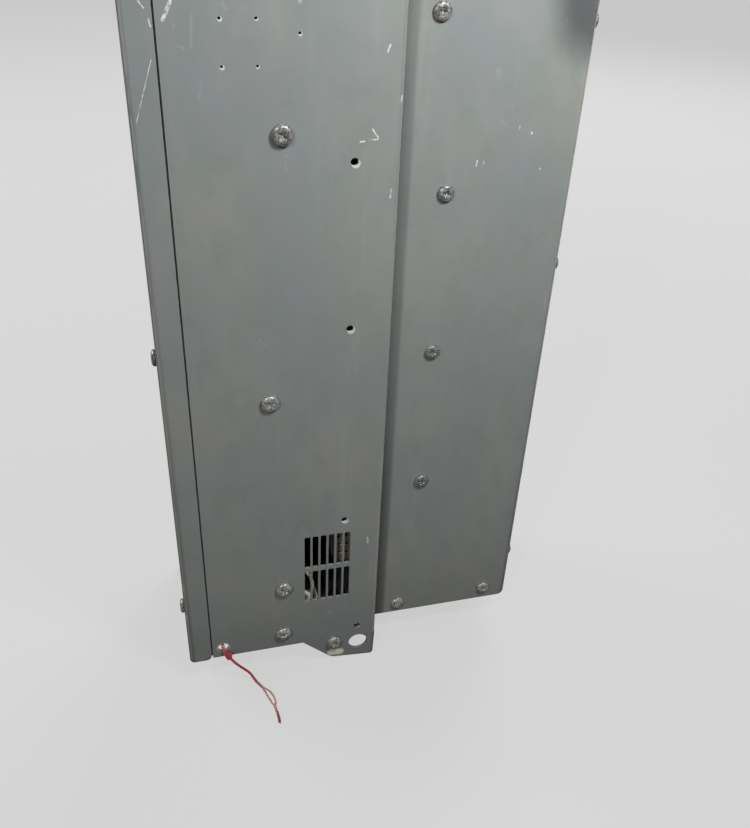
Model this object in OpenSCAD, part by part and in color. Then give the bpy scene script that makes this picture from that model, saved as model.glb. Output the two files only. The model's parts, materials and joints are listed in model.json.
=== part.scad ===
/* [Cabinet] */
// Width across the side panels
cabinet_w = 200; // [198:1:204]
// Height of the raised rear sheet between its bottom and top edges
cabinet_h = 474; // [470:1:490]
// Depth from the raised rear face to the face of the front frame
cabinet_d = 102; // [102:0.5:106]
// Thickness of the sheet metal
sheet_t = 1.5; // [1.4:0.1:1.6]
// How far the recessed rear wall lies behind the raised one
step_d = 13; // [12.5:0.5:14]
// Open seam between the left flange and the raised pan
seam_gap = 0.8; // [0.6:0.1:1]
// Outer radius of the long bends
bend_r = 3; // [2.5:0.5:3]

/* [Mounting tabs] */
// Radius of the bolt hole in each tab
tab_hole_r = 5.7; // [5:0.1:5.8]
// How far the bottom tab reaches below the sheet's edge
tab_drop = 19; // [19:0.5:20]

/* [Vent] */
// Slots in each row of the vent
vent_cols = 6; // [4:1:6]
// Height of one vent slot
slot_h = 22.9; // [22:0.1:23]
// Width of one vent slot
slot_w = 3.4; // [3.2:0.1:3.5]

/* [Breakers] */
// Height of one branch breaker along the stack
pole_h = 25.4; // [25.4:0.1:25.6]
// Swing of a breaker handle from off to on, degrees
handle_swing = 50; // [40:1:50]

/* [Hidden] */
$fn = 48;
fit_gap = 0.05;
part_gap = 0.3;
branches = 6;

// Every sub-part is drawn from the middle of the raised pan's bottom edge, with y = 0 on its rear face.
door_gap = 1.5;
door_d = 8;
knob_h = 9.9;
large_head = [4.65, 2.6];
small_head = [4, 2.2];
overall_d = large_head[1] + cabinet_d + door_gap + door_d + knob_h;
rear_y = large_head[1] - overall_d / 2;
module placed() translate([0, rear_y, tab_drop]) children();

half_w = cabinet_w / 2;
inner_w = half_w - sheet_t;
step_x = 10.6;
step_bend_r = 2;
tab_edge_x = 9.8;
flange_x = -half_w + 12.4;
pan_x = flange_x + seam_gap;
frame_y = cabinet_d - sheet_t;
side_front_y = frame_y - sheet_t;
panel_lap = 5;
strip_x = [-half_w + 4, -half_w + 15.4];

// Screw places, as x and height above the bottom edge
tab_hole = [0, -6.6];
pan_screws = [[-48.9, 172], [-40.5, 300.2], [-44.8, 427.4]];
bracket_screw = [-44.3, 46.6];
pan_edge_screws = [[-45.2, 11.2], [-45.2, cabinet_h - 11.2]];
insulator_screws = [[36.8, 184.6], [36.8, 267.8]];
earth_bar_screw = [36.8, 101.4];
saddle_screw = [28.6, 344.6];
gutter_edge_screws = [[28, 7.5], [84.3, 8.8], [28, cabinet_h - 7.5], [84.3, cabinet_h - 8.8]];
earth_stud = [-14.7, -3.6];
spare_holes = [[-9.7, 287.9], [-9.9, 208.7], [-10.2, 91.3], [-0.8, 7.4]];
pilot_holes = [[-63.3, 343.9], [-49.5, 343.9], [-63.3, 326.7], [-49.5, 326.7], [-32.8, 338.6]];
string_hole = [-80.5, 7.3];
string_hole_r = 3.1;
spare_hole_r = 1.8;
pilot_hole_r = 0.6;
large_shank_r = 2.4;
small_shank_r = 2;

// Shared shapes

// Extrudes an outline of x and z towards the front, from depth y
module facing(y, depth = sheet_t)
    translate([0, y + depth, 0]) rotate([90, 0, 0]) linear_extrude(depth) children();

// Puts a shape whose axis is +Z on a rear face, so that it stands out backwards
module on_rear(at, y = 0) translate([at[0], y, at[1]]) rotate([90, 0, 0]) children();

module round_at(at, r) translate(at) circle(r);

// Upright bend of a quarter turn between a wall across and a wall along y
module upright_bend(centre, quadrant, r_out, z0, height) {
    translate([centre[0], centre[1], z0]) intersection() {
        difference() {
            cylinder(r = r_out, h = height);
            translate([0, 0, -1]) cylinder(r = r_out - sheet_t, h = height + 2);
        }
        translate([quadrant[0] < 0 ? -r_out : 0, quadrant[1] < 0 ? -r_out : 0, 0])
            cube([r_out, r_out, height]);
    }
}

// Pan-head screw: the head's underside is at z = 0 and its shank points down
module pan_screw(head, shank_r, shank_l, turn = 0) {
    arc_steps = 5;
    crown = [for (i = [0:arc_steps]) let (a = 90 * i / arc_steps)
        [head[0] * (0.5 + 0.5 * cos(a)), head[1] * (0.35 + 0.65 * sin(a))]];
    recess = [head[0] * 1.15, head[0] * 0.2, head[1] * 0.6];
    difference() {
        union() {
            rotate_extrude() polygon(concat([[0, 0], [head[0], 0]], crown, [[0, head[1]]]));
            translate([0, 0, -shank_l]) cylinder(r = shank_r, h = shank_l + 0.01);
        }
        for (a = [turn, turn + 90]) rotate([0, 0, a])
            translate([0, 0, head[1] + 0.5]) cube([recess[0], recess[1], 2 * recess[2]], center = true);
    }
}

module hex_nut(across, height, bore_r) {
    difference() {
        cylinder(r = across / 2 / cos(30), h = height, $fn = 6);
        translate([0, 0, -1]) cylinder(r = bore_r, h = height + 2);
    }
}

// Cabinet

module vent_outline() {
    pitch = 4.5;
    row_gap = 2.7;
    corner = 0.7;
    first = [-32.4, 33.8];
    for (row = [0:1], col = [0:vent_cols - 1])
        translate([first[0] + col * pitch, first[1] + row * (slot_h + row_gap)]) {
            translate([corner, 0]) square([slot_w - 2 * corner, slot_h]);
            translate([0, corner]) square([slot_w, slot_h - 2 * corner]);
            for (x = [corner, slot_w - corner], z = [corner, slot_h - corner]) round_at([x, z], corner);
        }
}

// Outline of the raised pan with its two tabs, as x and z
module pan_outline() {
    corner = 2;
    top_corner = 4;
    tab_left = -17;
    top_tab_h = 18;
    bend_x = step_x - step_bend_r;
    translate([pan_x, 0]) square([bend_x - pan_x, cabinet_h]);
    polygon([[-33.7, 0.01], [-17.8, -15.2], [tab_left + corner, -16.7], [tab_edge_x - corner, -tab_drop],
        [tab_edge_x, corner - tab_drop], [step_x - 0.2, 0], [bend_x, 0.01]]);
    translate([tab_edge_x - corner, corner - tab_drop]) circle(corner);
    translate([tab_left, cabinet_h - 0.01]) square([tab_edge_x - tab_left, top_tab_h - top_corner]);
    translate([tab_left + top_corner, cabinet_h])
        square([tab_edge_x - tab_left - 2 * top_corner, top_tab_h]);
    for (x = [tab_left + top_corner, tab_edge_x - top_corner])
        translate([x, cabinet_h + top_tab_h - top_corner]) circle(top_corner);
}

module rear_pan() color([0.53, 0.56, 0.55]) placed() {
    bend_x = step_x - step_bend_r;
    difference() {
        union() {
            facing(0) pan_outline();
            upright_bend([bend_x, step_bend_r], [1, -1], step_bend_r, 0, cabinet_h);
            translate([step_x - sheet_t, step_bend_r, 0])
                cube([sheet_t, step_d - step_bend_r, cabinet_h]);
        }
        facing(-1, sheet_t + 2) {
            vent_outline();
            for (at = [tab_hole, [tab_hole[0], cabinet_h - tab_hole[1]]]) round_at(at, tab_hole_r);
            for (at = concat(pan_screws, pan_edge_screws, [bracket_screw, earth_stud]))
                round_at(at, large_shank_r + 0.2);
            for (at = spare_holes) round_at(at, spare_hole_r);
            for (at = pilot_holes) round_at(at, pilot_hole_r);
            round_at(string_hole, string_hole_r);
        }
    }
}

module right_side_panel() color([0.53, 0.56, 0.55]) placed() {
    corner = 5;
    bend_x = half_w - bend_r;
    wall_y = step_d + bend_r;
    difference() {
        union() {
            facing(step_d) difference() {
                translate([step_x - panel_lap, 0]) square([bend_x - step_x + panel_lap, cabinet_h]);
                for (at = concat(insulator_screws, gutter_edge_screws, [earth_bar_screw, saddle_screw]))
                    round_at(at, small_shank_r + 0.2);
            }
            upright_bend([bend_x, wall_y], [1, -1], bend_r, 0, cabinet_h);
            translate([half_w - sheet_t, wall_y, 0])
                cube([sheet_t, side_front_y + sheet_t - wall_y, cabinet_h]);
            translate([half_w - 12, side_front_y, 0]) cube([12, sheet_t, cabinet_h]);
        }
        side_holes();
        frame_holes();
        // the lower corner is rounded off
        facing(step_d - 1, cabinet_d) translate([half_w - corner, 0]) difference() {
            translate([0, -1]) square(corner + 1);
            translate([0, corner]) circle(corner);
        }
    }
}

module left_side_panel() color([0.53, 0.56, 0.55]) placed() {
    corner = 3;
    drop = 1.3;
    bend_x = -half_w + bend_r;
    height = cabinet_h + drop;
    difference() {
        union() {
            facing(0) {
                translate([bend_x, -drop + corner]) square([flange_x - bend_x, height - corner]);
                translate([bend_x, -drop]) square([flange_x - corner - bend_x, corner + 0.01]);
                translate([flange_x - corner, -drop + corner]) circle(corner);
            }
            upright_bend([bend_x, bend_r], [-1, -1], bend_r, -drop, height);
            translate([-half_w, bend_r, -drop]) cube([sheet_t, side_front_y + sheet_t - bend_r, height]);
            translate([-half_w, side_front_y, -drop]) cube([12, sheet_t, height]);
        }
        side_holes();
        frame_holes();
    }
}

// Screws along the side walls, as side, depth and height
side_screw_places = concat(
    [for (z = [36.8, 197.5, 360, 450]) [-1, 9, z]],
    [for (z = [33.5, 226.5, 340, 450]) [1, step_d + 7, z]]);

// Screws that hold the front frame, as x and height; the latch's cam sweeps past just below the middle
frame_screw_places = [for (side = [-1, 1], z = [22, cabinet_h / 2 + 20, cabinet_h - 12]) [side * 93, z]];

module side_holes() for (at = side_screw_places)
    translate([at[0] * half_w, at[1], at[2]]) rotate([0, 90, 0])
        cylinder(r = small_shank_r + 0.2, h = 8, center = true);

module frame_holes() for (at = frame_screw_places) translate([at[0], cabinet_d + 1, at[1]])
    rotate([90, 0, 0]) cylinder(r = small_shank_r + 0.2, h = 6);

// Plate that follows the stepped rear wall round the panels' lap, with a flange along its rear edge
module stepped_plate(z, flange_h, flange_z) {
    clear = 0.1;
    left = -inner_w + clear;
    right = inner_w - clear;
    front = side_front_y - clear;
    step = step_x - sheet_t - clear;
    bend = step_x - step_bend_r;
    lap_end = step_x - panel_lap - clear;
    gutter_wall = step_d + sheet_t;
    flange_ends = [-74, right - 3];
    strip_front = 2 * sheet_t + clear;
    strip_end = strip_x[1] + clear;
    translate([0, 0, z]) linear_extrude(sheet_t)
        polygon([[strip_end, sheet_t], [bend, sheet_t], [step, sheet_t + step_bend_r / 2],
            [step, step_d - clear], [lap_end, step_d - clear], [lap_end, gutter_wall],
            [right - 3, gutter_wall], [right, step_d + 5], [right, front], [left, front],
            [left, strip_front + 2], [left + 2, strip_front], [strip_end, strip_front]]);
    difference() {
        union() {
            translate([flange_ends[0], sheet_t, flange_z]) cube([bend - flange_ends[0], sheet_t, flange_h]);
            translate([step_x, gutter_wall, flange_z]) cube([flange_ends[1] - step_x, sheet_t, flange_h]);
        }
        facing(0, step_d + 8) {
            for (at = pan_edge_screws) round_at(at, large_shank_r + fit_gap);
            for (at = gutter_edge_screws) round_at(at, small_shank_r + fit_gap);
            round_at(spare_holes[3], spare_hole_r);
        }
    }
}

gland_places = [[38, 58], [74, 58]];
gland_z = 14;
gland_hole_r = 12.5;

module bottom_plate() color([0.5, 0.53, 0.52]) placed() difference() {
    stepped_plate(gland_z, gland_z - 3 + 0.01, 3);
    for (at = gland_places) translate([at[0], at[1], gland_z - 1])
        cylinder(r = gland_hole_r, h = sheet_t + 2);
}

module top_plate() color([0.5, 0.53, 0.52]) placed()
    stepped_plate(cabinet_h - sheet_t, 14, cabinet_h - 15);

// Strip behind the open seam
module seam_strip() color([0.45, 0.48, 0.47]) placed()
    translate([strip_x[0], sheet_t, 0.3]) cube([strip_x[1] - strip_x[0], sheet_t, cabinet_h - 0.6]);

frame_open = [-84, 84, 40, 434];
frame_lip = 4;

module front_frame() color([0.55, 0.58, 0.57]) placed() {
    low = -tab_drop;
    difference() {
        union() {
            facing(frame_y) difference() {
                translate([-half_w, low]) square([cabinet_w, cabinet_h - low]);
                translate([frame_open[0], frame_open[2]])
                    square([frame_open[1] - frame_open[0], frame_open[3] - frame_open[2]]);
            }
            for (x = [frame_open[0] - sheet_t, frame_open[1]]) translate([x, frame_y, frame_open[2]])
                cube([sheet_t, sheet_t + frame_lip, frame_open[3] - frame_open[2]]);
            for (z = [frame_open[2] - sheet_t, frame_open[3]])
                translate([frame_open[0] - sheet_t, frame_y, z])
                    cube([frame_open[1] - frame_open[0] + 2 * sheet_t, sheet_t + frame_lip, sheet_t]);
        }
        frame_holes();
    }
}

// The door's edge passes over the middle pair, so these heads are low
module frame_screws() color([0.35, 0.35, 0.36]) placed()
    for (at = frame_screw_places) translate([at[0], cabinet_d, at[1]]) rotate([-90, 0, 0])
        pan_screw([small_head[0], 1], small_shank_r, 5, 30);

module rear_screws_large() color([0.3, 0.3, 0.31]) placed() {
    for (i = [0:2]) on_rear(pan_screws[i]) pan_screw(large_head, large_shank_r, 18.5, 20 + 25 * i);
    on_rear(bracket_screw) pan_screw(large_head, large_shank_r, 9.5, 50);
    for (at = pan_edge_screws) on_rear(at) pan_screw(large_head, large_shank_r, 6, 10);
}

module rear_screws_small() color([0.3, 0.3, 0.31]) placed() {
    for (at = concat(insulator_screws, [earth_bar_screw, saddle_screw]))
        on_rear(at, step_d) pan_screw(small_head, small_shank_r, 9, 30 + at[1]);
    for (at = gutter_edge_screws) on_rear(at, step_d) pan_screw(small_head, small_shank_r, 6, 40 + at[1]);
}

module earth_screw() color([0.42, 0.42, 0.38]) placed() {
    on_rear(earth_stud) pan_screw(large_head, large_shank_r, 8, 15);
    translate([earth_stud[0], sheet_t, earth_stud[1]]) rotate([-90, 30, 0]) hex_nut(8, 3.2, large_shank_r);
}

module side_screws() color([0.35, 0.35, 0.36]) placed()
    for (at = side_screw_places) translate([at[0] * half_w, at[1], at[2]]) rotate([0, at[0] * 90, 0])
        pan_screw(small_head, small_shank_r, 4, at[2]);

// Breaker bay

pan_y = 14;
breaker_pan_size = [80, 288];
breaker_pan_at = [-84, 150];

module breaker_pan() color([0.62, 0.63, 0.6]) placed() difference() {
    translate([breaker_pan_at[0], pan_y, breaker_pan_at[1]]) {
        cube([breaker_pan_size[0], sheet_t, breaker_pan_size[1]]);
        for (x = [0, breaker_pan_size[0] - sheet_t]) translate([x, 0, 0])
            cube([sheet_t, 6, breaker_pan_size[1]]);
    }
    facing(pan_y - 1, 4) for (at = pan_screws) round_at(at, large_shank_r + 0.2);
}

module pan_spacers() color([0.6, 0.6, 0.58]) placed()
    for (at = pan_screws) translate([at[0], sheet_t, at[1]]) rotate([-90, 0, 0]) difference() {
        cylinder(r = 6, h = pan_y - sheet_t);
        translate([0, 0, -1]) cylinder(r = large_shank_r + 0.2, h = pan_y + 2);
    }

module pan_nuts() color([0.6, 0.6, 0.58]) placed()
    for (at = pan_screws) translate([at[0], pan_y + sheet_t, at[1]]) rotate([-90, 0, 0])
        hex_nut(8, 2.8, large_shank_r);

stack_x = [-80, -5];
stack_z = 168;
main_h = 2 * pole_h;
breaker_y = [30, 84];
nose = [-62, -24, 90];
base_y = pan_y + sheet_t;
stack_top = stack_z + branches * pole_h + main_h;

// Plastic base that carries the bus bars, hollowed over the pan's nuts
module bus_base() color([0.13, 0.13, 0.14]) placed() difference() {
    translate([-30, base_y, stack_z]) cube([24, 10, stack_top - stack_z]);
    for (z = [stack_z + pole_h : 2 * pole_h : stack_top - 10])
        translate([-25, base_y + 5, z - 4]) cube([14, 6, 8]);
}

// Bus bar with one stab for every second pole
module bus_bar(x, first) {
    bar_y = base_y + 10;
    translate([x, bar_y, stack_z + 2]) cube([8, 2, stack_top - stack_z - 4]);
    for (i = [first : 2 : branches + 1])
        translate([x + 1, bar_y + 1.9, stack_z + (i + 0.5) * pole_h - 5]) cube([6, 9, 10]);
}

module bus_bar_a() color([0.75, 0.76, 0.77]) placed() bus_bar(-28, 0);

module bus_bar_b() color([0.75, 0.76, 0.77]) placed() bus_bar(-16, 1);

// Rail that the outer ends of the breakers hook on
module hook_rail() color([0.62, 0.63, 0.6]) placed() {
    translate([-78, base_y, stack_z]) cube([16, sheet_t, stack_top - stack_z]);
    translate([-72, base_y, stack_z]) cube([sheet_t, breaker_y[0] - base_y + 3, stack_top - stack_z]);
}

pivot = [-43, 76];
hub_r = 8;
cavity_r = 8.6;
trunnion_r = 2;

// Breaker case of a given height, with the handle's cavity, its slot and the grips underneath
module breaker_case(z, height) {
    shell_gap = 0.15;
    low = z + shell_gap;
    tall = height - 2 * shell_gap;
    difference() {
        union() {
            translate([stack_x[0], breaker_y[0], low])
                cube([stack_x[1] - stack_x[0], breaker_y[1] - breaker_y[0], tall]);
            translate([nose[0], breaker_y[1] - 0.01, low])
                cube([nose[1] - nose[0], nose[2] - breaker_y[1], tall]);
        }
        translate([pivot[0], pivot[1], z + height / 2]) {
            cylinder(r = cavity_r, h = 10, center = true);
            cylinder(r = trunnion_r + fit_gap, h = 17, center = true);
            translate([-13, 0, -5]) cube([26, nose[2] - pivot[1] + 1, 10]);
        }
        // grips: one over the hook rail, one over the stabs
        translate([-73, breaker_y[0] - 1, z - 1]) cube([3.5, 5, height + 2]);
        translate([-28, breaker_y[0] - 1, z - 1]) cube([20.5, 9, height + 2]);
        // wire entry at the outer end, with the clamp screw's well above it
        translate([stack_x[0] - 1, 50, z + height / 2]) rotate([0, 90, 0]) cylinder(r = 4, h = 13);
        translate([stack_x[0] + 6.5, breaker_y[1] + 1, z + height / 2]) rotate([90, 0, 0])
            cylinder(r = 3, h = 28);
    }
}

// Handle in its off place: a hub on trunnions with a lever that leans to the outer side
module breaker_handle(z, height, lever_h) {
    lean = handle_swing / 2;
    translate([pivot[0], pivot[1], z + height / 2]) {
        cylinder(r = hub_r, h = 9, center = true);
        cylinder(r = trunnion_r, h = 16, center = true);
        rotate([0, 0, lean]) translate([0, 0, -lever_h / 2]) linear_extrude(lever_h)
            polygon([[-4, 5], [4, 5], [3.2, 21], [2.4, 22], [-2.4, 22], [-3.2, 21]]);
    }
}

module main_breaker() color([0.12, 0.12, 0.13]) placed() breaker_case(stack_top - main_h, main_h);

module main_handle() color([0.16, 0.16, 0.17]) placed() breaker_handle(stack_top - main_h, main_h, 9);

module branch_breaker(i) color([0.12, 0.12, 0.13]) placed()
    breaker_case(stack_z + (i - 1) * pole_h, pole_h);

module branch_handle(i) color([0.16, 0.16, 0.17]) placed()
    breaker_handle(stack_z + (i - 1) * pole_h, pole_h, 8);

dead_y = 85;
dead_area = [-82, 6, 120, 454];
post_places = [[-75.5, 129], [-1, 129], [-75.5, 445], [-1, 445]];

// Cover over the live parts, with an opening that the breakers' noses fill
module dead_front() color([0.56, 0.58, 0.57]) placed() {
    gap = 0.6;
    depth = 12;
    left = dead_area[0];
    right = dead_area[1];
    low = dead_area[2];
    high = dead_area[3];
    facing(dead_y) difference() {
        translate([left, low]) square([right - left, high - low]);
        translate([nose[0] - gap, stack_z - gap])
            square([nose[1] - nose[0] + 2 * gap, stack_top - stack_z + 2 * gap]);
        for (at = post_places) round_at(at, small_shank_r + 0.2);
    }
    for (x = [left, right - sheet_t]) translate([x, dead_y - depth, low])
        cube([sheet_t, depth + 0.01, high - low]);
    for (z = [low, high - sheet_t]) translate([left, dead_y - depth, z])
        cube([right - left, depth + 0.01, sheet_t]);
}

module dead_front_posts() color([0.6, 0.6, 0.58]) placed()
    for (at = post_places) difference() {
        translate([at[0], sheet_t, at[1]]) rotate([-90, 0, 0])
            cylinder(r = 4, h = dead_y - sheet_t);
        translate([at[0], dead_y - 10, at[1]]) rotate([-90, 0, 0]) cylinder(r = small_shank_r, h = 11);
    }

module dead_front_screws() color([0.35, 0.35, 0.36]) placed()
    for (at = post_places) translate([at[0], dead_y + sheet_t, at[1]]) rotate([-90, 0, 0])
        pan_screw(small_head, small_shank_r, 9, at[0]);

// Gutter

gutter_y = step_d + sheet_t;
neutral_z = [168, 284];
earth_z = [74, 129];
bar_w = 12;
bar_x = 36.8 - bar_w / 2;
bar_pitch = 12;

// Terminal bar with a wire hole from the side and a screw from the front at each place
module terminal_bar(y, z_range, skip) {
    difference() {
        translate([bar_x, y, z_range[0]]) cube([bar_w, 11, z_range[1] - z_range[0]]);
        for (z = [z_range[0] + 7 : bar_pitch : z_range[1] - 4]) if (min([for (s = skip) abs(z - s)]) > 6) {
            translate([bar_x - 1, y + 5, z]) rotate([0, 90, 0]) cylinder(r = 2.4, h = bar_w + 2);
            translate([bar_x + bar_w / 2, y + 4, z]) rotate([-90, 0, 0]) cylinder(r = 2.3, h = 8);
        }
        for (s = skip) translate([bar_x + bar_w / 2, y - 1, s]) rotate([-90, 0, 0])
            cylinder(r = small_shank_r, h = 9);
    }
}

module bar_terminal_screws(y, z_range, skip) {
    for (z = [z_range[0] + 7 : bar_pitch : z_range[1] - 4]) if (min([for (s = skip) abs(z - s)]) > 6)
        translate([bar_x + bar_w / 2, y + 6.5, z]) rotate([-90, 0, 0]) difference() {
            cylinder(r = 2.25, h = 6);
            translate([-3, -0.4, 5]) cube([6, 0.8, 2]);
        }
}

insulator_h = 12;
neutral_y = gutter_y + insulator_h;
neutral_skip = [for (at = insulator_screws) at[1]];

module neutral_bar() color([0.74, 0.75, 0.76]) placed() terminal_bar(neutral_y, neutral_z, neutral_skip);

module neutral_insulators() color([0.85, 0.85, 0.82]) placed()
    for (at = insulator_screws) translate([at[0], gutter_y, at[1]]) rotate([-90, 0, 0]) difference() {
        union() {
            cylinder(r = 8, h = insulator_h);
            translate([0, 0, 4]) cylinder(r = 9.5, h = 3);
        }
        translate([0, 0, -1]) cylinder(r = small_shank_r, h = 8.5);
        translate([0, 0, 8]) cylinder(r = small_shank_r, h = 5);
    }

module earth_bar() color([0.7, 0.71, 0.72]) placed() terminal_bar(gutter_y, earth_z, [earth_bar_screw[1]]);

module bar_screws() color([0.55, 0.55, 0.56]) placed() {
    bar_terminal_screws(neutral_y, neutral_z, neutral_skip);
    bar_terminal_screws(gutter_y, earth_z, [earth_bar_screw[1]]);
}

// Saddle that holds the incoming cable to the rear wall
module cable_saddle() color([0.6, 0.6, 0.58]) placed() {
    foot = [12, 14];
    loop_r = 8;
    difference() {
        union() {
            translate([saddle_screw[0] - foot[0] / 2, gutter_y, saddle_screw[1] - foot[1] / 2])
                cube([foot[0], 8, foot[1]]);
            translate([saddle_screw[0] - foot[0] / 2 - loop_r + 1, gutter_y, saddle_screw[1] - foot[1] / 2])
                intersection() {
                    translate([0, 3, 0]) difference() {
                        cylinder(r = loop_r, h = foot[1]);
                        translate([0, 0, -1]) cylinder(r = loop_r - 1.5, h = foot[1] + 2);
                    }
                    translate([-loop_r, 0, 0]) cube([2 * loop_r, 20, foot[1]]);
                }
        }
        on_rear(saddle_screw, gutter_y + 7.5) cylinder(r = small_shank_r, h = 9);
    }
}

block_x = [-84, -35];
block_y = 8;
block_z = [18, 34];

// Terminal block low in the raised pan, on a stand that the bracket screw holds
module terminal_block() color([0.88, 0.88, 0.85]) placed() difference() {
    union() {
        translate([block_x[0], block_y, block_z[0]])
            cube([block_x[1] - block_x[0], 22, block_z[1] - block_z[0]]);
        translate([-53, sheet_t, block_z[0] + 4]) cube([18, 9, 36]);
        // ear at the end of the block
        translate([block_x[1] - 1, 5, block_z[0]]) cube([8.2, 4, block_z[1] - block_z[0] - 0.2]);
    }
    on_rear(bracket_screw, 9.6) cylinder(r = large_shank_r, h = 9.6);
    for (x = [-79 : 9 : -43]) {
        translate([x, 24, block_z[1] - 10]) cylinder(r = 2.6, h = 11);
        translate([x, 22, block_z[0] + 6]) rotate([-90, 0, 0]) cylinder(r = 2, h = 10);
    }
}

// Surge module close behind the upper vent row
module surge_module() color([0.36, 0.32, 0.28]) placed() difference() {
    union() {
        translate([-15, 3.5, 58]) cube([19, 30, 44]);
        translate([-13, sheet_t, 95]) cube([14, 2.1, 7]);
    }
    for (z = [64 : 6 : 90]) translate([-16, 2.5, z]) cube([24, 2, 1.6]);
}

// Cords

function unit(v) = v / norm(v);

// Tube swept along a route: one ring of sides at each point, closed at both ends
module swept_tube(route, r, sides = 8, side_hint = [1, 0, 0]) {
    last = len(route) - 1;
    tangents = [for (i = [0:last]) unit(route[min(i + 1, last)] - route[max(i - 1, 0)])];
    rings = [for (i = [0:last]) let (n = unit(cross(tangents[i], side_hint)), b = cross(tangents[i], n))
        for (k = [0:sides - 1]) let (a = 360 * k / sides) route[i] + r * (cos(a) * n + sin(a) * b)];
    walls = [for (i = [0:last - 1], k = [0:sides - 1]) let (m = (k + 1) % sides)
        [i * sides + m, i * sides + k, (i + 1) * sides + k, (i + 1) * sides + m]];
    polyhedron(rings, concat(walls, [[for (k = [0:sides - 1]) k]],
        [[for (k = [0:sides - 1]) last * sides + sides - 1 - k]]), convexity = 8);
}

// Lead from the terminal block, past the lower vent slots, under the vent and up to the earth bar
wire_route = [[-43, 24, 24.6], [-43, 24, 30], [-43, 24, 36], [-42.2, 23.6, 40.4], [-39.6, 22.4, 43.8],
    [-36, 20.2, 45.8], [-32.4, 16.6, 46.4], [-29.6, 12, 46], [-28, 8.2, 45.2], [-27.2, 6, 43.8],
    [-26.7, 5, 41.4], [-26.2, 4.8, 38.4], [-25.6, 4.8, 35], [-25, 4.9, 31.5], [-24.4, 5.4, 28],
    [-23.4, 6.2, 24.4], [-21.4, 7.2, 21.2], [-18, 8, 19.4], [-14, 8.2, 19], [-9, 8.6, 19],
    [-4, 10.6, 19.2], [0.5, 14.6, 19.8], [5, 18, 21], [12, 20, 24], [19, 20.6, 31], [24.6, 20.4, 42],
    [27.6, 20, 55], [28.6, 19.6, 67], [28.7, 19.5, 74], [29.1, 19.5, 78], [30.4, 19.5, 80.2],
    [32.4, 19.5, 81], [34.4, 19.5, 81]];

module bonding_wire() color([0.85, 0.84, 0.8]) placed() swept_tube(wire_route, 1.1, 8, [0, 1, 0]);

string_r = 0.75;
string_route = [[-80.9, 7, 3], [-80.8, 5.2, 5.6], [-80.7, 3, 7.1], [-80.5, 0.6, 7.5], [-80, -1.6, 6.9],
    [-79.2, -2.8, 5.2], [-78.2, -3.1, 3], [-77, -3, 0.2], [-75.5, -2.6, -2.9], [-73.7, -2.7, -5.7],
    [-71.4, -3, -8.4], [-68.9, -3.5, -11], [-66.5, -4.2, -13.7], [-64.9, -5.6, -16], [-63.2, -8, -17.7],
    [-61.3, -10.8, -18.2], [-59.7, -13.6, -18.2], [-58.3, -17.3, -18.2], [-57, -21.6, -18.2],
    [-55.8, -26, -18.2], [-55, -29.7, -18.2], [-54.6, -33.2, -18.2], [-54.4, -36.4, -18.2],
    [-54.5, -39.2, -18.2]];

module tag_string() color([0.72, 0.3, 0.32]) placed() swept_tube(string_route, string_r);

// Knot just above the sheet's bottom edge, with the strand that comes back under the edge
return_route = [[-77.9, -2.6, 1.6], [-78.1, -1.8, -0.6], [-78.8, 0.2, -2.2], [-79.6, 2.6, -2.4],
    [-80.3, 5, -0.8], [-80.7, 6.6, 1], [-80.9, 7, 3]];
knot_at = [-78, -3.1, 2.6];
knot_r = 2.1;

module string_knot() color([0.66, 0.24, 0.27]) placed() {
    swept_tube(return_route, string_r);
    translate(knot_at) sphere(knot_r, $fn = 16);
}

// Door

door_x = [-92, 95];
door_z = [32, 442];
door_y = [cabinet_d + door_gap, cabinet_d + door_gap + door_d];
latch_at = [-71, 237];
latch_bore_r = 9;

module door() color([0.56, 0.59, 0.58]) placed() {
    skin_y = door_y[1] - sheet_t;
    width = door_x[1] - door_x[0];
    height = door_z[1] - door_z[0];
    facing(skin_y) difference() {
        translate([door_x[0], door_z[0]]) square([width, height]);
        round_at(latch_at, latch_bore_r + 0.1);
    }
    for (x = [door_x[0], door_x[1] - sheet_t]) translate([x, door_y[0], door_z[0]])
        cube([sheet_t, door_d - 0.01, height]);
    for (z = [door_z[0], door_z[1] - sheet_t]) translate([door_x[0], door_y[0], z])
        cube([width, door_d - 0.01, sheet_t]);
}

// Rubber ring inside the door that meets the frame's lip
module door_gasket() color([0.1, 0.1, 0.1]) placed() {
    strip = 3;
    inner = 1;
    open_w = frame_open[1] - frame_open[0];
    open_h = frame_open[3] - frame_open[2];
    facing(cabinet_d + frame_lip + part_gap, door_d + door_gap - sheet_t - frame_lip - part_gap)
        difference() {
            translate([frame_open[0] - strip, frame_open[2] - strip])
                square([open_w + 2 * strip, open_h + 2 * strip]);
            translate([frame_open[0] + inner, frame_open[2] + inner])
                square([open_w - 2 * inner, open_h - 2 * inner]);
        }
}

hinge_axis = [98, 104.6];
hinge_places = [84, 390];
hinge_pin_r = 1.1;
knuckle_r = 2;
knuckle_h = 12;
hinge_clear = 0.2;

// Knuckle with its bore; z is its lower end
module knuckle(z, height, bore_r) translate([hinge_axis[0], hinge_axis[1], z]) difference() {
    cylinder(r = knuckle_r, h = height);
    translate([0, 0, -1]) cylinder(r = bore_r, h = height + 2);
}

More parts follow.
